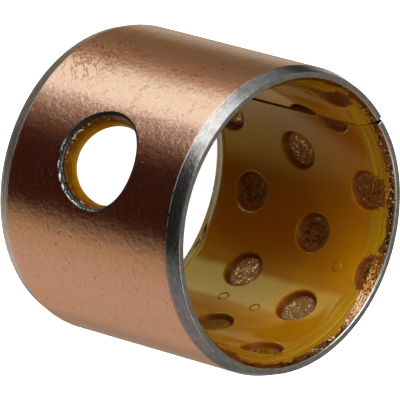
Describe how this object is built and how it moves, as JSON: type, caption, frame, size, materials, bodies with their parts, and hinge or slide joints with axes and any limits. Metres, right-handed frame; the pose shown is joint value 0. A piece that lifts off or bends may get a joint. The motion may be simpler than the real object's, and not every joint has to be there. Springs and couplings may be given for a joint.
{
  "type": "rolled composite plain bushing",
  "caption": "Split cylindrical dry bushing rolled from steel, bronze and acetal strip, with grease pockets in the bore and an oil hole through the wall.",
  "frame": {"origin": "centre of the lower end face, on the axis of the bush", "axes": "+Z along the axis of the bush; the oil hole faces -Y"},
  "size_m": [0.015, 0.015, 0.0124],
  "materials": {
    "plated_steel": "thin copper plating, bare turned steel at the chamfers",
    "sintered_bronze": "porous, grainy",
    "acetal": "smooth, slightly translucent"
  },
  "bodies": {
    "root": {"steel_backing": "plated_steel", "bronze_interlayer": "sintered_bronze", "acetal_lining": "acetal"}
  },
  "joints": []
}
